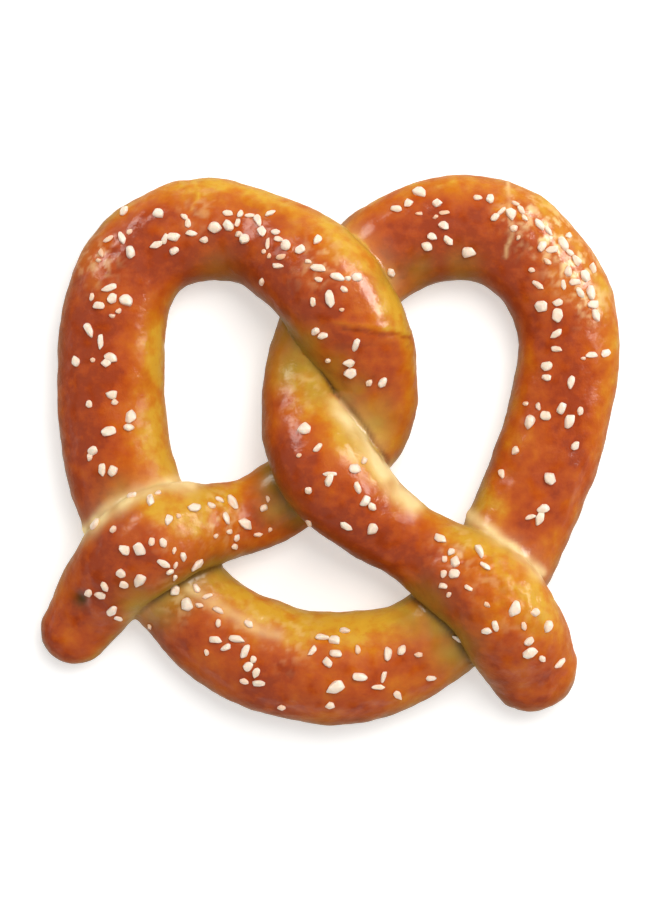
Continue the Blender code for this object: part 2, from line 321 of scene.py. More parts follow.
# Pale flakes where melted salt and glaze dried, partly a painted highlight: x, y, reach in millimetres,
# and how much.
FLAKES_AND_HIGHLIGHTS = [
    (46.5, 57.0, 5.0, 0.8),
    (53.5, 51.5, 6.0, 1.0),
    (59.0, 44.0, 5.5, 1.0),
    (62.0, 36.0, 4.5, 0.8),
    (-56.0, 45.0, 5.0, 0.4),
    (-31.0, 58.0, 5.0, 0.25),
    (-2.0, 45.0, 6.0, 0.35),
    (-27.0, -16.0, 6.0, 0.4),
    (-38.0, -20.0, 5.0, 0.2),
    (-36.0, -36.0, 5.0, 0.3),
    (31.0, -24.0, 5.0, 0.35),
    (38.0, -30.0, 6.0, 0.2),
    (45.0, -40.0, 6.0, 0.15),
    (-28.0, -36.5, 4.0, 0.3),
    (-20.0, -42.0, 4.5, 0.3),
    (-10.0, -45.0, 6.0, 0.3),
    (-6.5, 14.0, 4.0, 0.4),
]

FLAKE_WAVES = [(1.0, 1.9, 18), (0.6, 0.9, 19)]
FLAKES_FROM, FLAKES_ALL = -0.1, 0.8

# Where the crust kept little of its glaze: x, y, reach in millimetres, and how much it lost.
DULL = [
    (-43.0, 21.0, 9.0, 0.95),
    (-42.5, 12.0, 8.0, 0.8),
    (-42.5, 0.0, 9.0, 1.0),
    (-44.0, -9.0, 5.0, 1.0),
    (-29.0, -19.0, 8.0, 0.8),
    (44.0, -34.0, 8.0, 0.8),
    (36.0, -26.0, 6.0, 0.7),
    (-31.0, -33.0, 6.0, 0.6),
    (65.0, 24.0, 8.0, 0.85),
    (63.0, 8.0, 9.0, 0.85),
    (2.0, 9.0, 6.0, 0.8),
    (-4.0, 17.0, 6.0, 0.7),
    (7.0, -4.0, 6.0, 0.6),
    (16.0, -11.0, 6.0, 0.6),
    (18.0, -16.5, 5.0, 0.6),
]
GLAZED_FACING = 0.60, 0.85  # how far the crust faces up between none of the glaze and all of it
FILM_WAVES = [(1.0, 3.0, 20)]
FILM_FROM, FILM_ALL = -0.9, -0.1

# ---- the salt

# The coarse grains that stand for the CAD grains, in their order: x, y, length, width, and the turn of
# the length.
GRAINS = [
    # left lobe, from its left side over its top to the twist
    (-52.0, -5.0, 2.6, 2.3, 10),
    (-56.7, -0.1, 3.0, 2.1, 25),
    (-53.1, 4.4, 3.2, 2.1, 10),
    (-47.8, 8.0, 3.2, 2.4, 60),
    (-52.2, 13.3, 2.8, 2.0, 10),
    (-60.8, 21.3, 2.4, 2.1, 90),
    (-52.3, 22.3, 3.0, 2.0, 150),
    (-54.9, 26.2, 4.1, 1.5, 88),
    (-57.5, 28.8, 3.7, 1.8, 118),
    (-52.1, 36.4, 3.2, 2.0, 65),
    (-52.9, 38.9, 3.2, 1.7, 15),
    (-47.7, 47.5, 3.0, 2.4, 100),
    (-37.7, 51.1, 3.4, 1.8, 0),
    (-41.0, 56.9, 2.5, 2.2, 150),
    (-27.7, 53.5, 3.1, 2.8, 30),
    (-20.2, 50.4, 2.8, 2.4, 150),
    (-16.9, 54.9, 3.4, 1.7, 110),
    (-12.7, 52.0, 2.4, 1.6, 150),
    (-10.2, 48.7, 3.0, 2.4, 115),
    # the arm over the top of the twist
    (-2.7, 49.9, 2.8, 1.9, 60),
    (6.4, 41.1, 2.6, 2.0, 10),
    (0.2, 36.0, 3.7, 2.1, 98),
    (-3.2, 28.4, 2.7, 1.9, 40),
    (5.0, 18.6, 3.2, 2.4, 20),
    (12.6, 16.2, 2.8, 1.7, 55),
    # right lobe, from the twist over its top and down its right side
    (16.3, 57.9, 3.0, 1.6, 172),
    (21.9, 61.9, 3.9, 2.2, 140),
    (23.6, 49.0, 2.7, 2.1, 0),
    (33.4, 47.7, 3.4, 2.8, 170),
    (38.7, 60.3, 2.5, 1.7, 85),
    (43.4, 56.7, 3.2, 2.2, 120),
    (50.5, 54.1, 3.2, 1.7, 140),
    (56.3, 49.5, 3.6, 2.2, 120),
    (61.4, 41.6, 3.2, 2.2, 110),
    (63.9, 32.4, 3.2, 1.8, 115),
    (54.9, 32.4, 3.5, 2.4, 90),
    (51.1, 34.5, 3.0, 2.5, 20),
    (54.6, 27.9, 3.0, 1.7, 25),
    (52.2, 20.1, 3.2, 2.2, 15),
    (63.0, 22.8, 3.0, 1.5, 5),
    (48.4, 6.8, 3.4, 2.4, 85),
    (57.6, 6.9, 3.0, 2.4, 80),
    (58.9, 1.0, 2.6, 2.1, 60),
    (52.9, -7.0, 3.4, 2.6, 105),
    (50.6, -16.3, 3.2, 1.7, 70),
    # right arm and right tail
    (-5.8, 5.0, 3.2, 2.5, 155),
    (0.0, -7.2, 3.4, 1.8, 75),
    (8.5, -12.1, 3.0, 2.2, 50),
    (10.3, -18.7, 3.0, 2.5, 45),
    (29.9, -29.7, 3.0, 2.2, 0),
    (36.0, -24.3, 3.6, 1.9, 110),
    (44.3, -38.0, 4.0, 2.5, 75),
    (47.9, -48.3, 3.2, 2.3, 20),
    # left arm and left tail
    (-32.5, -14.0, 4.1, 2.3, 5),
    (-45.2, -23.4, 3.6, 2.6, 130),
    (-52.1, -38.4, 3.4, 2.0, 60),
    # belly
    (-34.2, -37.2, 3.1, 2.2, 110),
    (-19.5, -52.0, 2.7, 2.0, 50),
    (1.3, -56.9, 4.4, 2.9, 30),
]

# The grains round them: the same, and how far each has melted into the glaze, from 0 to 1.
MORE_GRAINS = [
    # left lobe
    (-49.3, 57.4, 2.7, 1.9, 45, 0.1),
    (-34.7, 55.8, 2.3, 1.3, 150, 0.3),
    (-34.0, 54.4, 2.1, 1.2, 100, 0.3),
    (-53.2, 50.6, 2.9, 1.3, 18, 0.5),
    (-49.8, 51.0, 3.1, 1.6, 112, 0.05),
    (-48.0, 52.4, 1.6, 1.2, 30, 0.7),
    (-54.8, 47.4, 2.2, 1.2, 110, 0.8),
    (-55.4, 45.6, 1.7, 0.9, 160, 0.7),
    (-41.6, 49.3, 3.5, 1.4, 15, 0.15),
    (-39.6, 50.6, 2.6, 1.5, 70, 0.1),
    (-37.4, 47.8, 2.3, 2.0, 20, 0.1),
    (-33.2, 52.1, 2.8, 1.5, 172, 0.15),
    (-48.8, 35.9, 3.0, 2.5, 150, 0.05),
    (-55.2, 34.6, 3.2, 2.0, 170, 0.2),
    (-57.0, 36.8, 2.3, 1.1, 80, 0.4),
    (-50.6, 33.3, 1.5, 1.2, 30, 0.5),
    (-52.1, 32.2, 1.4, 1.1, 0, 0.6),
    (-56.7, 21.6, 1.6, 1.2, 0, 0.7),
    (-53.5, 20.9, 2.3, 1.7, 10, 0.15),
    (-57.5, 11.0, 2.0, 1.5, 80, 0.3),
    (-51.5, 11.5, 1.6, 1.3, 40, 0.4),
    (-48.2, 5.4, 2.7, 1.7, 8, 0.2),
    (-57.4, -1.7, 1.8, 1.3, 75, 0.3),
    (-54.4, -4.7, 2.9, 1.6, 95, 0.2),
    (-24.6, 56.9, 2.6, 1.4, 0, 0.2),
    (-21.4, 56.6, 1.9, 1.5, 40, 0.1),
    (-22.0, 54.4, 2.2, 1.2, 70, 0.3),
    (-19.0, 56.2, 2.8, 1.1, 165, 0.3),
    (-14.2, 56.6, 2.9, 1.5, 25, 0.2),
    (-16.0, 52.2, 3.0, 1.9, 110, 0.05),
    (-24.2, 53.7, 2.9, 2.4, 135, 0.05),
    (-21.5, 51.8, 2.0, 1.4, 170, 0.3),
    (-30.1, 50.6, 2.2, 1.4, 5, 0.3),
    (-12.1, 50.3, 2.6, 1.3, 160, 0.3),
    (-14.6, 49.4, 3.0, 1.0, 82, 0.4),
    (-15.6, 47.4, 1.3, 1.0, 0, 0.6),
    (-14.3, 46.3, 1.4, 1.0, 60, 0.8),
    (-11.5, 46.0, 2.6, 1.2, 5, 0.9),
    (-11.9, 43.9, 2.9, 1.2, 172, 0.25),
    (-6.7, 47.6, 2.5, 2.2, 30, 0.05),
    (-16.0, 40.2, 2.2, 1.4, 70, 0.4),
    # the arm over the top of the twist
    (-2.6, 43.3, 3.8, 1.8, 165, 0.15),
    (-5.0, 44.8, 1.8, 1.0, 160, 0.5),
    (-2.5, 40.6, 1.9, 1.2, 0, 0.4),
    (2.0, 41.1, 3.6, 1.6, 165, 0.1),
    (4.4, 40.8, 1.6, 1.2, 0, 0.1),
    (3.6, 38.2, 1.8, 1.3, 140, 0.3),
    (-3.8, 35.3, 2.3, 1.4, 85, 0.3),
    (3.0, 33.4, 1.4, 1.0, 0, 0.9),
    (-1.5, 27.3, 2.6, 1.6, 20, 0.15),
    (6.3, 25.0, 3.8, 1.5, 70, 0.15),
    (-0.3, 21.5, 1.5, 1.3, 60, 0.4),
    (4.8, 20.9, 2.5, 1.9, 0, 0.1),
    (9.6, 16.2, 2.0, 1.3, 35, 0.5),
    # right lobe
    (14.9, 42.7, 2.2, 1.7, 100, 0.15),
    (19.2, 59.3, 2.3, 1.8, 40, 0.2),
    (25.9, 59.2, 2.5, 2.1, 20, 0.1),
    (27.6, 57.0, 2.3, 0.9, 5, 0.8),
    (21.6, 56.8, 1.7, 0.9, 0, 0.8),
    (25.6, 56.0, 1.3, 0.9, 40, 0.8),
    (27.5, 53.9, 2.6, 1.9, 145, 0.2),
    (28.5, 50.3, 2.7, 1.5, 140, 0.15),
    (24.8, 51.3, 2.6, 1.8, 150, 0.1),
    (35.7, 60.6, 2.2, 1.3, 0, 0.3),
    (39.7, 55.8, 2.5, 1.6, 40, 0.15),
    (41.4, 57.3, 2.8, 1.2, 40, 0.2),
    (44.8, 59.1, 2.4, 1.1, 150, 0.4),
    (46.1, 57.6, 2.4, 1.2, 130, 0.3),
    (46.9, 55.7, 2.0, 1.0, 130, 0.5),
    (44.3, 53.2, 1.9, 1.6, 0, 0.5),
    (45.4, 51.0, 1.4, 1.0, 60, 0.8),
    (52.7, 52.6, 2.6, 1.3, 130, 0.2),
    (51.0, 48.8, 2.7, 2.1, 80, 0.15),
    (53.8, 48.2, 2.9, 1.4, 10, 0.1),
    (57.6, 51.6, 2.0, 1.4, 50, 0.2),
    (57.9, 47.4, 1.8, 1.2, 150, 0.2),
    (52.4, 45.2, 2.0, 1.2, 140, 0.7),
    (57.4, 43.0, 2.4, 1.9, 100, 0.2),
    (59.4, 45.6, 2.8, 1.8, 130, 0.3),
    (58.8, 40.3, 2.7, 1.5, 10, 0.2),
    (63.4, 43.8, 2.4, 1.6, 110, 0.3),
    (60.3, 37.8, 2.8, 1.4, 125, 0.15),
    (62.9, 37.8, 3.0, 1.9, 100, 0.1),
    (63.5, 34.9, 2.6, 1.9, 10, 0.15),
    (48.7, 43.3, 1.6, 1.4, 0, 0.4),
    (50.3, 39.6, 3.1, 1.2, 145, 0.3),
    (56.3, 39.8, 2.6, 1.2, 100, 0.2),
    (55.0, 35.4, 2.6, 1.8, 10, 0.15),
    (54.6, 24.2, 2.9, 1.4, 168, 0.3),
    (52.4, 17.4, 2.1, 1.8, 0, 0.2),
    (58.1, 16.3, 2.9, 1.5, 80, 0.2),
    (66.4, 23.3, 2.9, 1.6, 22, 0.1),
    (61.0, 22.0, 1.3, 0.9, 0, 0.6),
    (47.4, 11.1, 1.7, 1.1, 0, 0.6),
    (50.4, 10.5, 2.3, 1.2, 105, 0.3),
    (52.2, 8.2, 2.5, 2.0, 150, 0.15),
    (55.6, 9.9, 3.1, 2.1, 60, 0.1),
    (60.3, 9.4, 2.3, 1.3, 80, 0.3),
    (45.0, -0.1, 2.2, 1.7, 50, 0.3),
    (41.7, -5.7, 2.4, 1.5, 100, 0.4),
    (51.4, -14.0, 3.0, 1.7, 10, 0.15),
    (48.2, -16.1, 2.8, 1.3, 15, 0.3),
    # right arm and right tail
    (-2.7, 0.4, 2.7, 1.5, 45, 0.2),
    (-7.1, -1.3, 1.2, 1.0, 0, 0.8),
    (0.2, -5.7, 3.4, 1.3, 0, 0.1),
    (-4.9, -9.7, 1.9, 1.6, 100, 0.3),
    (-4.7, -17.4, 2.2, 1.4, 110, 0.5),
    (5.9, -4.7, 3.0, 2.2, 20, 0.15),
    (8.2, -2.6, 1.8, 1.4, 60, 0.4),
    (6.7, -9.1, 2.5, 1.4, 110, 0.2),
    (10.2, -13.6, 2.3, 1.7, 140, 0.2),
    (4.0, -18.1, 3.2, 1.5, 145, 0.15),
    (26.7, -21.4, 2.8, 1.8, 150, 0.2),
    (27.6, -26.2, 1.8, 1.2, 80, 0.4),
    (29.3, -24.4, 2.0, 1.5, 60, 0.15),
    (30.3, -26.9, 3.0, 2.1, 90, 0.15),
    (27.5, -29.6, 2.2, 1.4, 80, 0.3),
    (27.4, -32.5, 2.3, 1.4, 165, 0.25),
    (28.7, -34.5, 1.6, 1.2, 80, 0.4),
    (37.2, -27.8, 2.9, 1.4, 140, 0.2),
    (33.3, -33.0, 2.4, 1.2, 140, 0.4),
    (37.6, -36.8, 1.8, 1.0, 140, 0.8),
    (37.6, -43.2, 2.8, 1.6, 10, 0.15),
    (39.6, -41.9, 2.6, 1.5, 105, 0.2),
    (46.4, -42.0, 2.6, 1.2, 105, 0.5),
    (49.1, -38.7, 2.2, 1.7, 20, 0.3),
    (52.2, -42.2, 2.8, 2.2, 80, 0.15),
    (47.6, -45.7, 2.8, 1.8, 30, 0.2),
    (50.8, -49.9, 2.2, 1.6, 130, 0.2),
    (55.2, -51.4, 4.0, 1.5, 5, 0.2),
    # left arm and left tail
    (-56.0, -17.9, 3.2, 1.6, 25, 0.25),
    (-47.2, -11.0, 2.3, 1.4, 10, 0.3),
    (-42.7, -12.2, 3.3, 1.8, 88, 0.1),
    (-40.9, -10.4, 1.8, 1.2, 40, 0.4),
    (-38.4, -16.7, 2.7, 1.9, 72, 0.15),
    (-36.0, -15.8, 1.3, 1.0, 0, 0.6),
    (-51.5, -19.1, 1.9, 1.6, 20, 0.5),
    (-48.6, -23.9, 2.8, 2.2, 120, 0.15),
    (-42.3, -21.9, 2.7, 1.3, 85, 0.5),
    (-39.6, -22.2, 2.4, 1.8, 120, 0.25),
    (-37.0, -24.0, 1.9, 1.0, 80, 0.4),
    (-34.9, -25.5, 2.8, 1.4, 105, 0.2),
    (-39.4, -27.1, 3.1, 1.7, 150, 0.15),
    (-36.7, -27.4, 2.0, 1.0, 65, 0.4),
    (-38.2, -29.1, 2.2, 1.3, 0, 0.15),
    (-37.0, -30.5, 2.0, 1.1, 75, 0.2),
    (-31.9, -27.4, 3.5, 1.9, 18, 0.2),
    (-49.6, -29.4, 2.6, 2.1, 10, 0.15),
    (-49.0, -32.1, 2.3, 1.7, 150, 0.2),
    (-45.1, -30.8, 3.8, 2.4, 62, 0.15),
    (-53.6, -32.6, 2.4, 1.7, 120, 0.2),
    (-54.8, -34.8, 2.6, 1.6, 0, 0.25),
    (-57.7, -34.3, 2.2, 1.8, 40, 0.3),
    (-50.7, -40.4, 2.7, 1.2, 135, 0.15),
    (-36.9, -33.7, 3.2, 2.2, 60, 0.15),
    (-28.3, -13.4, 2.1, 1.4, 165, 0.3),
    (-26.4, -12.0, 2.3, 1.2, 0, 0.3),
    (-23.3, -12.7, 3.6, 2.0, 118, 0.2),
    (-24.9, -16.5, 3.1, 1.7, 120, 0.2),
    (-20.3, -17.9, 3.6, 2.1, 140, 0.15),
    (-24.1, -19.6, 1.7, 1.1, 0, 0.4),
    (-22.5, -21.2, 2.1, 1.6, 20, 0.3),
    (-22.9, -23.2, 2.3, 1.4, 130, 0.4),
    (-27.3, -20.6, 1.5, 1.2, 80, 0.6),
    (-17.3, -20.3, 2.6, 1.2, 170, 0.4),
    (-15.9, -14.0, 2.2, 1.5, 20, 0.3),
    (-14.8, -11.8, 1.6, 0.9, 100, 0.6),
    (-14.3, -19.2, 1.3, 0.9, 60, 0.8),
    # belly
    (-43.2, -42.6, 1.4, 1.1, 110, 0.6),
    (-32.0, -33.4, 2.3, 1.5, 120, 0.4),
    (-29.3, -35.2, 2.3, 1.2, 20, 0.5),
    (-31.3, -37.3, 2.0, 1.2, 0, 0.5),
    (-26.6, -38.4, 3.1, 1.3, 155, 0.4),
    (-26.6, -41.6, 2.2, 1.4, 85, 0.4),
    (-19.4, -41.9, 2.2, 1.6, 140, 0.35),
    (-27.4, -45.6, 3.4, 1.6, 170, 0.15),
    (-24.8, -47.5, 2.8, 1.7, 30, 0.15),
    (-22.2, -45.4, 3.8, 1.7, 165, 0.15),
    (-20.1, -48.2, 3.4, 1.8, 58, 0.1),
    (-18.1, -50.2, 1.8, 1.4, 60, 0.25),
    (-17.5, -53.5, 2.6, 1.8, 70, 0.15),
    (-20.4, -55.4, 2.1, 1.4, 160, 0.25),
    (-17.0, -56.0, 3.4, 1.4, 4, 0.15),
    (-29.4, -48.7, 1.7, 1.0, 95, 0.4),
    (-11.5, -61.8, 2.0, 1.3, 10, 0.5),
    (-1.8, -45.1, 3.0, 1.5, 170, 0.2),
    (1.2, -45.7, 3.2, 2.0, 150, 0.15),
    (3.9, -43.6, 2.4, 1.5, 170, 0.3),
    (-4.0, -48.2, 3.0, 1.7, 50, 0.2),
    (1.7, -48.9, 3.2, 1.7, 165, 0.15),
    (-0.3, -50.9, 2.4, 1.9, 130, 0.15),
    (6.8, -48.0, 2.4, 1.4, 80, 0.7),
    (14.1, -49.2, 3.4, 2.0, 80, 0.15),
    (17.3, -48.2, 2.8, 1.8, 55, 0.3),
    (21.4, -49.2, 1.7, 1.3, 0, 0.7),
    (7.2, -54.4, 3.2, 1.9, 170, 0.1),
    (13.0, -54.4, 2.4, 1.4, 75, 0.25),
    (11.8, -56.9, 3.0, 1.4, 172, 0.3),
    (24.4, -54.8, 2.6, 1.3, 165, 0.2),
    (16.4, -58.8, 3.2, 1.6, 125, 0.25),
    (0.2, -61.2, 2.1, 1.8, 0, 0.25),
    (31.0, -45.4, 3.0, 1.1, 160, 0.2),
]
LEAD_MELTED = 0.1  # how far the coarse grains have melted
GRAIN_CORNERS = 14
GRAIN_PLUMPNESS = 1.08  # of the length and width that show
GRAIN_HEIGHT_SHARE = 0.85  # a grain's height as a share of its width
GRAIN_CORNER_WANDER = 0.24  # share of a grain's half length by which its corners wander
GRAIN_SINK = 0.28  # share of a grain's height that is under the crust
GRAIN_WEAR = 0.13  # share of its mean side that a grain's edges are worn back
GRAIN_SIZE_WANDER = 0.08  # share by which each of its sides may be longer or shorter
GRAIN_FLAT_ANGLE = 12  # degrees: faces that meet at less are one facet

# ---- geometry of the rope


def natural_spline(knots, values, places):
    """Values of the natural cubic spline through (knots, values), read at places."""
    count, steps = len(knots), np.diff(knots)
    system = np.eye(count)
    slopes = np.zeros((count, values.shape[1]))
    rises = np.diff(values, axis=0) / steps[:, None]
    for i in range(1, count - 1):
        system[i, i - 1 : i + 2] = steps[i - 1], 2 * (steps[i - 1] + steps[i]), steps[i]
        slopes[i] = 6 * (rises[i] - rises[i - 1])
    bends = np.linalg.solve(system, slopes)
    span = np.clip(np.searchsorted(knots, places) - 1, 0, count - 2)
    width = steps[span][:, None]
    after = (places - knots[span])[:, None]
    before = width - after
    return (
        bends[span] * before**3 / (6 * width)
        + bends[span + 1] * after**3 / (6 * width)
        + (values[span] / width - bends[span] * width / 6) * before
        + (values[span + 1] / width - bends[span + 1] * width / 6) * after
    )


def rope_line():
    """Centres, half widths and places along the rope of its rings, in millimetres."""
    stations = np.array(ROPE)
    strides = np.linalg.norm(np.diff(stations[:, :2], axis=0), axis=1)
    knots = np.concatenate([[0.0], np.cumsum(strides)])
    places = np.linspace(0.0, knots[-1], round(knots[-1] / RING_STEP))
    x, y, radius, lift = natural_spline(knots, stations, places).T
    window = np.hanning(round(LIFT_EASE / RING_STEP) + 2)
    edge = len(window) // 2
    lift = np.pad(np.maximum(lift, 0.0), edge, mode="edge")
    lift = np.convolve(lift, window / window.sum(), mode="same")[edge : edge + len(x)]
    centres = np.stack([x, y, radius * SINK_SHARE + lift], axis=1)
    return centres, radius + SMOOTH_LOSS, places


def rope_rings(centres, radii):
    """Every ring of the rope as (centre, tangent, half width), with round caps at both tips."""
    tangents = np.gradient(centres, axis=0)
    tangents /= np.linalg.norm(tangents, axis=1)[:, None]
    turns = np.linspace(0.0, math.pi / 2, CAP_RINGS + 1)[1:-1]
    head = [
        (centres[0] - tangents[0] * radii[0] * math.sin(a), tangents[0], radii[0] * math.cos(a))
        for a in turns[::-1]
    ]
    body = list(zip(centres, tangents, radii))
    tail = [
        (centres[-1] + tangents[-1] * radii[-1] * math.sin(a), tangents[-1], radii[-1] * math.cos(a))
        for a in turns
    ]
    return head + body + tail


def ring_corners(shape, centre, tangent, radius):
    """The corners of one flattened ring round the rope."""
    side = np.cross(tangent, (0.0, 0.0, 1.0))
    side /= np.linalg.norm(side)
    up = np.cross(side, tangent)
    angles = [2 * math.pi * i / RING_SIDES for i in range(RING_SIDES)]
    return [
        shape.verts.new(MM * (centre + radius * (side * math.cos(a) + up * HEIGHT_SHARE * math.sin(a))))
        for a in angles
    ]


def rope_mesh(centres, radii):
    """The swept rope. It runs through itself at the crossings until the remesh fuses them."""
    rings = rope_rings(centres, radii)
    shape = bmesh.new()
    loops = [ring_corners(shape, *ring) for ring in rings]
    for first, second in zip(loops, loops[1:]):
        for i in range(RING_SIDES):
            j = (i + 1) % RING_SIDES
            shape.faces.new((first[i], first[j], second[j], second[i]))
    (start, start_way, start_radius), (end, end_way, end_radius) = rings[0], rings[-1]
    reach = math.tan(math.pi / (4 * CAP_RINGS))
    first_pole = shape.verts.new(MM * (start - start_way * start_radius * reach))
    last_pole = shape.verts.new(MM * (end + end_way * end_radius * reach))
    for i in range(RING_SIDES):
        j = (i + 1) % RING_SIDES
        shape.faces.new((first_pole, loops[0][j], loops[0][i]))
        shape.faces.new((last_pole, loops[-1][i], loops[-1][j]))
    bmesh.ops.recalc_face_normals(shape, faces=shape.faces)
    mesh = bpy.data.meshes.new("crust")
    shape.to_mesh(mesh)
    shape.free()
    return mesh


def applied(obj):
    """Replaces the object's mesh by what its modifiers make of it."""
    made = bpy.data.meshes.new_from_object(obj.evaluated_get(bpy.context.evaluated_depsgraph_get()))
    obj.modifiers.clear()
    old = obj.data
    obj.data = made
    bpy.data.meshes.remove(old)


def fused_dough(centres, radii):
    """The rope as one fine closed skin, rounded in the valleys between strands."""
    dough = bpy.data.objects.new("crust", rope_mesh(centres, radii))
    bpy.context.scene.collection.objects.link(dough)
    fuse = dough.modifiers.new("fuse the crossings", "REMESH")
    fuse.mode = "VOXEL"
    fuse.voxel_size = FUSE_VOXEL * MM
    ease = dough.modifiers.new("round the valleys", "SMOOTH")
    ease.factor = FUSE_EASE
    ease.iterations = FUSE_ROUNDS
    applied(dough)
    dough.data.name = "crust"
    return dough


# ---- fields over the skin, in millimetres


def skin_points(mesh):
    """Vertex places in millimetres."""
    flat = np.empty(len(mesh.vertices) * 3)
    mesh.vertices.foreach_get("co", flat)
    return flat.reshape(-1, 3) / MM


def skin_normals(mesh):
    """Which way each vertex faces."""
    flat = np.empty(len(mesh.vertices) * 3)
    mesh.vertex_normals.foreach_get("vector", flat)
    return flat.reshape(-1, 3)


def soft_step(low, high, values):
    """0 below low, 1 above high, and a smooth S between."""
    share = np.clip((values - low) / (high - low), 0.0, 1.0)
    return share * share * (3.0 - 2.0 * share)


def wander(points, wavelength, seed):
    """Smooth noise from about -1 to 1 at each point, with that wavelength in millimetres."""
    shift = Vector((seed * 17.3, seed * 5.1, seed * 9.7))
    return np.array([noise.noise(Vector(p) / wavelength + shift) for p in points]) * NOISE_GAIN


def waves(points, layers):
    """Several waves of noise together, from their amounts, wavelengths and seeds."""
    return sum(amount * wander(points, wavelength, seed) for amount, wavelength, seed in layers)


def spot(points, x, y, reach):
    """1 at (x, y), falling to 0 over a few times its reach."""
    return np.exp(-((points[:, 0] - x) ** 2 + (points[:, 1] - y) ** 2) / reach**2)


def upper_side(points):
    """1 on the upper side of the crust, falling to 0 towards the sheet."""
    return soft_step(*UPPER_SIDE, points[:, 2])


def line_gap(points, route):
    """Distance seen from above from each point to a line through the route's points."""
    flat = points[:, :2]
    nearest = np.full(len(points), np.inf)
    for start, end in zip(route, route[1:]):
        start, along = np.array(start), np.array(end) - start
        share = np.clip((flat - start) @ along / (along @ along), 0.0, 1.0)
        nearest = np.minimum(nearest, np.linalg.norm(flat - start - share[:, None] * along, axis=1))
    return nearest


def neighbours(points, centres, radii, places):
    """How far each point is from the surface of the nearest other strand, in millimetres, and how much
    the seam between the two is on the shaded side, from 0 to 1."""
    gaps, shaded = np.empty(len(points)), np.empty(len(points))
    squash = np.array([1.0, 1.0, 1.0 / HEIGHT_SHARE])
    for first in range(0, len(points), AT_ONCE):
        batch = slice(first, first + AT_ONCE)
        some = points[batch]
        away = np.linalg.norm((some[:, None] - centres[None]) * squash, axis=2) - radii
        own = away.argmin(axis=1)
        away[np.abs(places[None] - places[own][:, None]) < OWN_STRETCH * radii.mean()] = np.inf
        other = away.argmin(axis=1)
        gaps[batch] = np.maximum(away.min(axis=1), 0.0)
        step_down = (centres[other] - centres[own]) * np.sign(centres[own] - centres[other])[:, 2:]
        step_down /= np.linalg.norm(step_down[:, :2], axis=1)[:, None] + NEVER_ZERO
        shaded[batch] = soft_step(SHADED_FROM, SHADED_ALL, step_down[:, :2] @ SHADED_SIDE)
    return gaps, shaded


def line_strengths(points, lines):
    """For each line, 1 on it, with a natural waver, falling to 0 beside it."""
    waver = np.zeros_like(points)
    waver[:, 0] = waves(points, LINE_WAVER_X)
    waver[:, 1] = waves(points, LINE_WAVER_Y)
    uneven = np.clip(LINE_USUAL + waves(points, LINE_FADING), LINE_FAINTEST, 1.0)
    uneven *= upper_side(points)
    return [
        uneven * np.exp(-((line_gap(points + waver, route) / half_width) ** 2))
        for _, half_width, _, route in lines
    ]


def creased(points, gaps, shaded, least):
    """1 in the crease between two strands: least of it on seams towards the light, none where they roll
    together.
    """
    x, y, reach, _ = ROLLED_IN
    crease = np.exp(-((gaps / CREASE_REACH) ** 2)) * (1.0 - spot(points, x, y, reach))
    return crease * (least + (1.0 - least) * shaded)


def heights(points, gaps, shaded, strengths):
    """How far the real crust stands out from the smooth rope at each point, in millimetres."""
    upper = upper_side(points)
    lift = waves(points, LUMPS)
    lift -= CREASE_DEPTH * creased(points, gaps, shaded, CREASED_TO_LIGHT)
    x, y, reach, fill = ROLLED_IN
    lift += fill * np.exp(-((gaps / SEAM_REACH) ** 2)) * spot(points, x, y, reach)
    for (height, *_), strength in zip(LINES + LIPS, strengths):
        lift += height * strength
    knobs = waves(points, KNOBS) * upper
    for x, y, reach, strength in KNOBBLY:
        lift += strength * knobs * spot(points, x, y, reach)
    x, y, reach, depth = PIT
    lift -= depth * spot(points, x, y, reach) * upper
    return lift


def baking(points, normals, strengths):
    """How brown the crust is at each point, from 0, pale, to 1, darkest: partly real browning, partly
    painted shade on faces turned from the light and on the creases.
    """
    facing = normals @ np.array(BROWN_AND_SHADE_WAY)
    brown = LEAST_BROWN + (MOST_BROWN - LEAST_BROWN) * soft_step(*FACING_BROWN_AND_SHADE, facing)
    brown += waves(points, UNEVEN_BAKING)
    for x, y, reach, amount in PATCHES:
        brown += amount * spot(points, x, y, reach)
    for (_, _, amount, _), strength in zip(LINES, strengths):
        brown += amount * strength
    return np.clip(brown, 0.0, 1.0)


def paleness(points, gaps, shaded, strengths):
    """How cream each point is: on seams towards the light, pale dough and painted light, on the lips, and
    where the glaze flaked, partly a painted highlight.
    """
    pale_and_lit = np.exp(-((gaps / SEAM_REACH) ** 2)) * SEAM_PALE * (1.0 - shaded)
    for (_, _, amount, _), strength in zip(LIPS, strengths[len(LINES) :]):
        pale_and_lit = np.maximum(pale_and_lit, amount * strength)
    pale_and_lit *= 1.0 + waves(points, UNEVEN_PALE)
    flakes = soft_step(FLAKES_FROM, FLAKES_ALL, waves(points, FLAKE_WAVES))
    for x, y, reach, amount in FLAKES_AND_HIGHLIGHTS:
        pale_and_lit = np.maximum(pale_and_lit, amount * flakes * spot(points, x, y, reach))
    return np.clip(pale_and_lit, 0.0, 1.0)


def glaze(points, normals):
    """How thick the glaze is at each point: thin on the sides, and patchy on top."""
    film = soft_step(*GLAZED_FACING, normals[:, 2])
    film *= soft_step(FILM_FROM, FILM_ALL, waves(points, FILM_WAVES))
    for x, y, reach, lost in DULL:
        film *= 1.0 - lost * spot(points, x, y, reach)
    return film


def side(normals):
    """How far each point is down a side, where the crust is duller and darker with painted shade, most on
    the sides turned from the light.
    """
    lit = soft_step(BRIGHT_FROM, BRIGHT_ALL, normals @ LIT_SIDE)
    flatter = soft_step(SIDE_FULL, SIDE_START - BRIGHT_DROP * lit, normals[:, 2])
    return (1.0 - flatter) * (1.0 - BRIGHT_SHARE * lit)


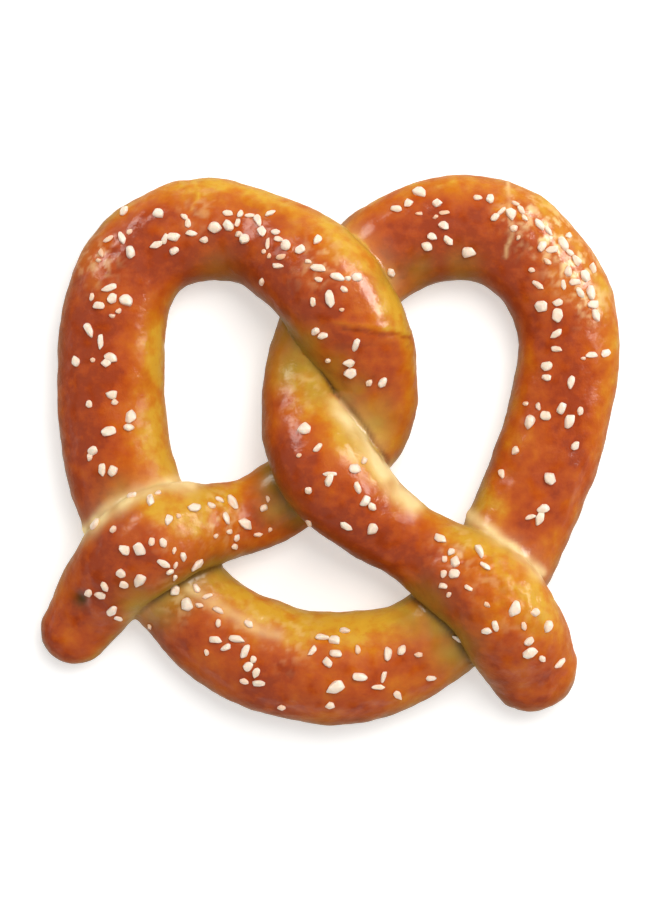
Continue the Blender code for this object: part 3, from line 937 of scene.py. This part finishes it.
def olive_shade(points, gaps, shaded):
    """How much painted olive shade each point gets: on the shaded side of seams, and in the patches of
    painted shade.
    """
    olive_shade_amount = np.exp(-((gaps / OLIVE_SHADE_REACH) ** 2)) * shaded
    for x, y, reach, amount in OLIVE_SHADE_PATCHES:
        olive_shade_amount = np.maximum(olive_shade_amount, amount * spot(points, x, y, reach))
    return np.clip(olive_shade_amount * (1.0 + waves(points, UNEVEN_OLIVE_SHADE)), 0.0, 1.0)


def shade(points, gaps, shaded, strengths):
    """How dark each point is: painted shade from lying in a crease or on a crease line, and the dark pit.
    """
    dark = creased(points, gaps, shaded, SHADE_TO_LIGHT)
    for (_, _, amount, _), strength in zip(LINES, strengths):
        if amount > 0.0:
            dark = np.maximum(dark, amount * strength)
    x, y, reach, _ = PIT
    return np.maximum(dark, spot(points, x, y, reach))


def store(mesh, name, values):
    """Keeps one number for each vertex, for the material to read."""
    mesh.attributes.new(name, "FLOAT", "POINT").data.foreach_set("value", values.astype(np.float32))


def underside(points):
    """1 on the crust that lay on the sheet, with an uneven edge."""
    return 1.0 - soft_step(*UNDERSIDE_REACH, points[:, 2] + waves(points, UNDERSIDE_EDGE))


def baked_dough():
    """The whole crust, with its lumps, creases and splits, and how it baked and its painted light and
    shade stored on its vertices.
    """
    centres, radii, places = rope_line()
    dough = fused_dough(centres, radii)
    mesh = dough.data
    points, normals = skin_points(mesh), skin_normals(mesh)
    gaps, shaded = neighbours(points, centres, radii, places)
    strengths = line_strengths(points, LINES + LIPS)
    store(mesh, "brown", baking(points, normals, strengths))
    store(mesh, "pale_and_lit", paleness(points, gaps, shaded, strengths))
    store(mesh, "olive_shade", olive_shade(points, gaps, shaded))
    store(mesh, "shade", shade(points, gaps, shaded, strengths))
    store(mesh, "side", side(normals))
    store(mesh, "glaze", glaze(points, normals))
    store(mesh, "underside", underside(points))
    off_sheet = soft_step(*LUMPS_START, points[:, 2])
    points += normals * (heights(points, gaps, shaded, strengths) * off_sheet)[:, None]
    points[:, 2] = np.maximum(points[:, 2], 0.0)
    mesh.vertices.foreach_set("co", (points * MM).ravel())
    mesh.update()
    mesh.shade_smooth()
    return dough


# ---- materials

CRUST_STOPS = [
    (0.00, (0.68, 0.36, 0.028)),
    (0.26, (0.62, 0.205, 0.010)),
    (0.48, (0.56, 0.130, 0.007)),
    (0.70, (0.49, 0.086, 0.007)),
    (0.88, (0.42, 0.062, 0.007)),
    (1.00, (0.33, 0.044, 0.007)),
]
CREAM_AND_LIGHT = (0.96, 0.74, 0.35)  # dough the heat hardly reached, and painted light on lit seams, lips and flakes
OLIVE_SHADE = (0.40, 0.26, 0.032)  # painted shade beside a strand
OLIVE_SHADE_MOST = 0.8
# painted shade in the creases and on the crease lines, and the dark of the pit
CREASE_SHADE = (0.11, 0.052, 0.012)
SIDE_SHADE = (0.22, 0.10, 0.014)  # unglazed crust towards the sheet, and painted shade down the sides
SIDE_SHADE_MOST = 0.9
UNDERSIDE = (0.33, 0.13, 0.035)
MOTTLE = 0.13  # how far the fine mottling goes either way on the brown scale
GLAZE_MOST = 0.7
CRUST_ROUGHNESS = 0.30, 0.50
UNDERSIDE_DULLER = 0.35
CRUST_SHINE = {
    "Specular IOR Level": 0.05,
    "Coat Roughness": 0.12,
    "Subsurface Weight": 0.06,
    "Subsurface Radius": (0.0020, 0.0008, 0.0003),
}
SALT_STOPS = [(0.35, (0.93, 0.76, 0.60)), (0.65, (0.97, 0.84, 0.71))]
MELTED_SALT = (0.86, 0.52, 0.30)
SALT_SHINE = {
    "Roughness": 0.42,
    "Subsurface Weight": 0.5,
    "Subsurface Radius": (0.0014, 0.0010, 0.0008),
}
FLOOR_STOPS = [(0.3, (0.82, 0.82, 0.815)), (0.7, (0.85, 0.85, 0.845))]
FLOOR_SHINE = {
    "Roughness": 0.7,
    "Emission Color": (1.0, 1.0, 1.0, 1.0),
    "Emission Strength": 0.44,
}


class Nodes:
    """A new material's nodes, with short ways to add to them."""

    def __init__(self, name, plain_sockets):
        self.material = bpy.data.materials.new(name)
        self.material.use_nodes = True
        self.tree = self.material.node_tree
        self.link = self.tree.links.new
        self.shader = self.tree.nodes["Principled BSDF"].inputs
        for socket, value in plain_sockets.items():
            self.shader[socket].default_value = value
        self.place = self.add("ShaderNodeTexCoord").outputs["Object"]

    def add(self, kind, **values):
        """A node, with its inputs and its settings given by name."""
        node = self.tree.nodes.new(kind)
        for key, value in values.items():
            if key in node.inputs:
                node.inputs[key].default_value = value
            else:
                setattr(node, key, value)
        return node

    def noise(self, **values):
        """Noise over the object, from 0 to 1."""
        node = self.add("ShaderNodeTexNoise", **values)
        self.link(self.place, node.inputs["Vector"])
        return node.outputs["Fac"]

    def stored(self, name):
        """A number stored on the vertices."""
        return self.add("ShaderNodeAttribute", attribute_name=name).outputs["Fac"]

    def spread(self, value, low, high, from_low=0.0, from_high=1.0):
        """The value, spread from one range to another."""
        ends = {"From Min": from_low, "From Max": from_high, "To Min": low, "To Max": high}
        node = self.add("ShaderNodeMapRange", **ends)
        self.link(value, node.inputs["Value"])
        return node.outputs["Result"]

    def ramp(self, value, stops):
        """The colour at the value on a ramp of (place, colour) stops."""
        node = self.add("ShaderNodeValToRGB")
        elements = node.color_ramp.elements
        while len(elements) < len(stops):
            elements.new(0.5)
        for element, (place, colour) in zip(elements, stops):
            element.position = place
            element.color = (*colour, 1.0)
        self.link(value, node.inputs["Fac"])
        return node.outputs["Color"]

    def tinted(self, colour, tint, amount):
        """The colour, turned towards the tint by the amount."""
        mix = self.add("ShaderNodeMix", data_type="RGBA")
        mix.inputs[7].default_value = (*tint, 1.0)
        self.link(colour, mix.inputs[6])
        self.link(amount, mix.inputs["Factor"])
        return mix.outputs[2]

    def bumped(self, height, strength, distance):
        """The normal of a surface with that height, its distance in metres."""
        bump = self.add("ShaderNodeBump", Strength=strength, Distance=distance)
        self.link(height, bump.inputs["Height"])
        return bump.outputs["Normal"]


def crust_colour(nodes, mottle):
    """How brown the crust is, with painted shade on faces turned from the light, and its tints: painted
    shade down the sides, beside strands and in creases, cream where the heat hardly reached, partly
    painted light, and the underside.
    """
    toasted = nodes.add("ShaderNodeMath", operation="ADD", use_clamp=True)
    nodes.link(nodes.stored("brown"), toasted.inputs[0])
    nodes.link(nodes.spread(mottle, -MOTTLE, MOTTLE, from_low=0.3, from_high=0.7), toasted.inputs[1])
    colour = nodes.ramp(toasted.outputs[0], CRUST_STOPS)
    colour = nodes.tinted(colour, SIDE_SHADE, nodes.spread(nodes.stored("side"), 0.0, SIDE_SHADE_MOST))
    colour = nodes.tinted(colour, OLIVE_SHADE, nodes.spread(nodes.stored("olive_shade"), 0.0, OLIVE_SHADE_MOST))
    colour = nodes.tinted(colour, CREAM_AND_LIGHT, nodes.stored("pale_and_lit"))
    colour = nodes.tinted(colour, CREASE_SHADE, nodes.stored("shade"))
    return nodes.tinted(colour, UNDERSIDE, nodes.stored("underside"))


def crust_roughness(nodes, mottle):
    """A satin crust, duller on the underside."""
    duller = nodes.add("ShaderNodeMath", operation="MULTIPLY_ADD", use_clamp=True)
    nodes.link(nodes.stored("underside"), duller.inputs[0])
    duller.inputs[1].default_value = UNDERSIDE_DULLER
    satin = nodes.spread(mottle, *CRUST_ROUGHNESS, from_low=0.25, from_high=0.75)
    nodes.link(satin, duller.inputs[2])
    return duller.outputs[0]


def crust_material():
    """Glazed crust: golden where it baked least, red-brown on the ridges, pale beside the crossings, with
    painted shade and light on the sides and seams.
    """
    nodes = Nodes("crust", CRUST_SHINE)
    mottle = nodes.noise(Scale=420.0, Detail=6.0, Roughness=0.6)
    pores = nodes.noise(Scale=900.0, Detail=5.0, Roughness=0.6)
    nodes.link(crust_colour(nodes, mottle), nodes.shader["Base Color"])
    nodes.link(crust_roughness(nodes, mottle), nodes.shader["Roughness"])
    nodes.link(nodes.spread(nodes.stored("glaze"), 0.0, GLAZE_MOST), nodes.shader["Coat Weight"])
    nodes.link(nodes.bumped(pores, strength=0.35, distance=0.0005), nodes.shader["Normal"])
    nodes.link(nodes.bumped(pores, strength=0.2, distance=0.0005), nodes.shader["Coat Normal"])
    return nodes.material


def salt_material():
    """Coarse salt: milky white, a little rough, and browner where it melted into the glaze."""
    nodes = Nodes("salt", SALT_SHINE)
    cloud = nodes.noise(Scale=700.0, Detail=4.0)
    milky = nodes.ramp(cloud, SALT_STOPS)
    nodes.link(nodes.tinted(milky, MELTED_SALT, nodes.stored("melted")), nodes.shader["Base Color"])
    nodes.link(nodes.bumped(cloud, strength=0.3, distance=0.0002), nodes.shader["Normal"])
    return nodes.material


def floor_material():
    """A plain near-white table top with the faintest grain."""
    nodes = Nodes("table_top", FLOOR_SHINE)
    cloud = nodes.noise(Scale=60.0, Detail=5.0)
    nodes.link(nodes.ramp(cloud, FLOOR_STOPS), nodes.shader["Base Color"])
    return nodes.material


# ---- salt grains


def crystal_corners(shape, chance, half):
    """Corners spread evenly over a rounded box of those half sides, each a little off its place."""
    golden_turn = math.pi * (3.0 - math.sqrt(5.0))
    for i in range(GRAIN_CORNERS):
        rise = 1.0 - 2.0 * (i + 0.5) / GRAIN_CORNERS
        ring = math.sqrt(1.0 - rise * rise)
        way = (ring * math.cos(i * golden_turn), ring * math.sin(i * golden_turn), rise)
        reach = max(abs(part) for part in way) ** -0.5
        wobble = [chance.uniform(-GRAIN_CORNER_WANDER, GRAIN_CORNER_WANDER) for _ in way]
        shape.verts.new([side * (part * reach + w) for side, part, w in zip(half, way, wobble)])


def crystal(chance, length, width, turn, seat):
    """One worn salt crystal as a bmesh, its length turned in the crust's plane, placed by its seat."""
    sides = GRAIN_PLUMPNESS * length, GRAIN_PLUMPNESS * width, GRAIN_HEIGHT_SHARE * width
    half = [side / 2 * chance.uniform(1.0 - GRAIN_SIZE_WANDER, 1.0 + GRAIN_SIZE_WANDER) for side in sides]
    shape = bmesh.new()
    crystal_corners(shape, chance, half)
    bmesh.ops.convex_hull(shape, input=shape.verts)
    inner = [corner for corner in shape.verts if not corner.link_faces]
    bmesh.ops.delete(shape, geom=inner, context="VERTS")
    flat = math.radians(GRAIN_FLAT_ANGLE)
    bmesh.ops.dissolve_limit(shape, angle_limit=flat, verts=shape.verts, edges=shape.edges)
    bmesh.ops.bevel(
        shape,
        geom=shape.edges[:] + shape.verts[:],
        offset=GRAIN_WEAR * (length + width) / 2,
        segments=2,
        profile=0.6,
        affect="EDGES",
        clamp_overlap=True,
    )
    for face in shape.faces:
        face.smooth = True
    shape.transform(seat @ Matrix.Rotation(turn, 4, "Z") @ Matrix.Scale(MM, 4))
    return shape


def seat_on(crust, x, y, sink):
    """Where a grain sits: on the crust under (x, y), its height along the crust's normal."""
    spot_on, normal, _, _ = crust.ray_cast(Vector((x * MM, y * MM, 1.0)), Vector((0.0, 0.0, -1.0)))
    along = Vector((1.0, 0.0, 0.0))
    along = (along - normal * along.dot(normal)).normalized()
    turned = Matrix((along, normal.cross(along), normal)).transposed().to_4x4()
    return Matrix.Translation(spot_on + normal * sink * MM) @ turned


def joined(name, parts, melted):
    """One object from several crystals, with how far each has melted stored on its vertices."""
    mesh = bpy.data.meshes.new(name)
    whole = bmesh.new()
    spread = []
    for part, amount in zip(parts, melted):
        part.to_mesh(mesh)
        part.free()
        whole.from_mesh(mesh)
        spread += [amount] * len(mesh.vertices)
    whole.to_mesh(mesh)
    whole.free()
    store(mesh, "melted", np.array(spread))
    made = bpy.data.objects.new(name, mesh)
    bpy.context.scene.collection.objects.link(made)
    return made


def salt_grains(dough):
    """Every grain: one object for each CAD grain, with the smaller grains nearest to it."""
    crust = BVHTree.FromObject(dough, bpy.context.evaluated_depsgraph_get())
    chance = random.Random("coarse salt")
    groups = [[(*lead, LEAD_MELTED)] for lead in GRAINS]
    for grain in MORE_GRAINS:
        nearest = min(groups, key=lambda group: math.dist(group[0][:2], grain[:2]))
        nearest.append(grain)
    salt = salt_material()
    for number, group in enumerate(groups, start=1):
        parts = []
        for x, y, length, width, turn, _ in group:
            sink = width / 2 * GRAIN_HEIGHT_SHARE * (1.0 - 2.0 * GRAIN_SINK)
            parts.append(crystal(chance, length, width, math.radians(turn), seat_on(crust, x, y, sink)))
        grains = joined(f"salt_crystals_{number:02d}", parts, [grain[-1] for grain in group])
        grains.data.materials.append(salt)
        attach(grains, "root")
        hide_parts(f"salt_grain_{number:02d}")


# ---- stage, light and camera

FLOOR_SIZE = 6.0
SOFTBOX_DISTANCE = 1.2
LIGHT_COLOUR = (1.0, 0.97, 0.93)
# Softboxes: the direction from the pretzel, width and height in metres, and power in watts.
KEY = ((0.26, 0.38, 0.88), 0.80, 0.80, 12.0)
RIGHT_SHEEN = ((0.80, 0.40, 0.485), 0.90, 0.50, 24.0)
LEFT_SHEEN = ((-0.62, 0.62, 0.485), 0.50, 0.36, 5.0)
SKY_STRENGTH = 0.46
CAMERA_HEIGHT = 1.22
CAMERA_LENS = 200.0
CAMERA_REACH = 20.0


def table_top():
    """The floor under the pretzel."""
    bpy.ops.mesh.primitive_plane_add(size=FLOOR_SIZE, location=(0.0, 0.0, 0.0))
    floor = bpy.context.object
    floor.name = "table_top"
    floor.data.materials.append(floor_material())
    floor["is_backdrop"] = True


def softbox(name, direction, width, height, power):
    """An area light in that direction from the pretzel, facing it."""
    light = bpy.data.lights.new(name, "AREA")
    light.shape = "RECTANGLE"
    light.size = width
    light.size_y = height
    light.energy = power
    light.color = LIGHT_COLOUR
    box = bpy.data.objects.new(name, light)
    way = Vector(direction).normalized()
    box.location = way * SOFTBOX_DISTANCE
    box.rotation_euler = way.to_track_quat("Z", "Y").to_euler()
    bpy.context.scene.collection.objects.link(box)
    return box


def studio_light():
    """A big soft key overhead, and two low boxes that only put the glaze's sheen on its shoulders."""
    softbox("key", *KEY).visible_glossy = False
    softbox("right_sheen", *RIGHT_SHEEN).visible_diffuse = False
    softbox("left_sheen", *LEFT_SHEEN).visible_diffuse = False
    world = bpy.data.worlds.new("studio")
    world.use_nodes = True
    back = world.node_tree.nodes["Background"]
    back.inputs["Color"].default_value = (1.0, 1.0, 1.0, 1.0)
    back.inputs["Strength"].default_value = SKY_STRENGTH
    bpy.context.scene.world = world


def overhead_camera():
    """Straight down on the pretzel with its lobes up, from far enough to look flat."""
    (left, front, _), (right, back, _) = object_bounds()
    data = bpy.data.cameras.new("overhead")
    data.lens = CAMERA_LENS
    data.clip_end = CAMERA_REACH
    camera = bpy.data.objects.new("overhead", data)
    camera.location = ((left + right) / 2, (front + back) / 2, CAMERA_HEIGHT)
    bpy.context.scene.collection.objects.link(camera)
    bpy.context.scene.camera = camera


def main():
    """The crust, its salt, the floor, the light and the camera."""
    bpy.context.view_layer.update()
    dough = baked_dough()
    dough.name = "baked_crust"
    dough.data.materials.append(crust_material())
    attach(dough, "root")
    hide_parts("pretzel_dough")
    salt_grains(dough)
    table_top()
    studio_light()
    overhead_camera()
    bpy.context.scene.view_settings.view_transform = "Standard"


main()
